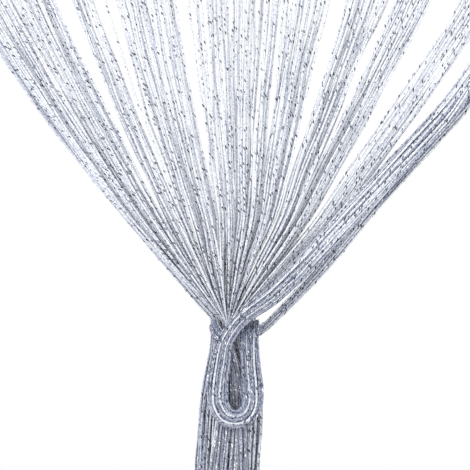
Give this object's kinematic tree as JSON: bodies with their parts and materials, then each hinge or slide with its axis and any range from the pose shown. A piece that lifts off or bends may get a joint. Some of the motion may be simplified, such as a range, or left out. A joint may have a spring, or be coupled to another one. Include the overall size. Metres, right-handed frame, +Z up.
{
  "type": "string door curtain",
  "caption": "Door curtain of loose tinsel strings under a sewn rod pocket, gathered into a self-tied knot with a hanging loop and a long tail.",
  "frame": {"origin": "middle of the curtain's top edge, on the fold of the rod pocket", "axes": "+Z up against the hanging strings, +X to the right along the top edge as seen from the front, +Y to the back"},
  "size_m": [1, 0.0613, 1.9989],
  "materials": {
    "tape": "matt woven polyester tape",
    "string": "soft twisted polyester string with metallic tinsel flecks"
  },
  "bodies": {
    "root": {"rod_sleeve": "tape", "string_fringe": "string"}
  },
  "joints": []
}
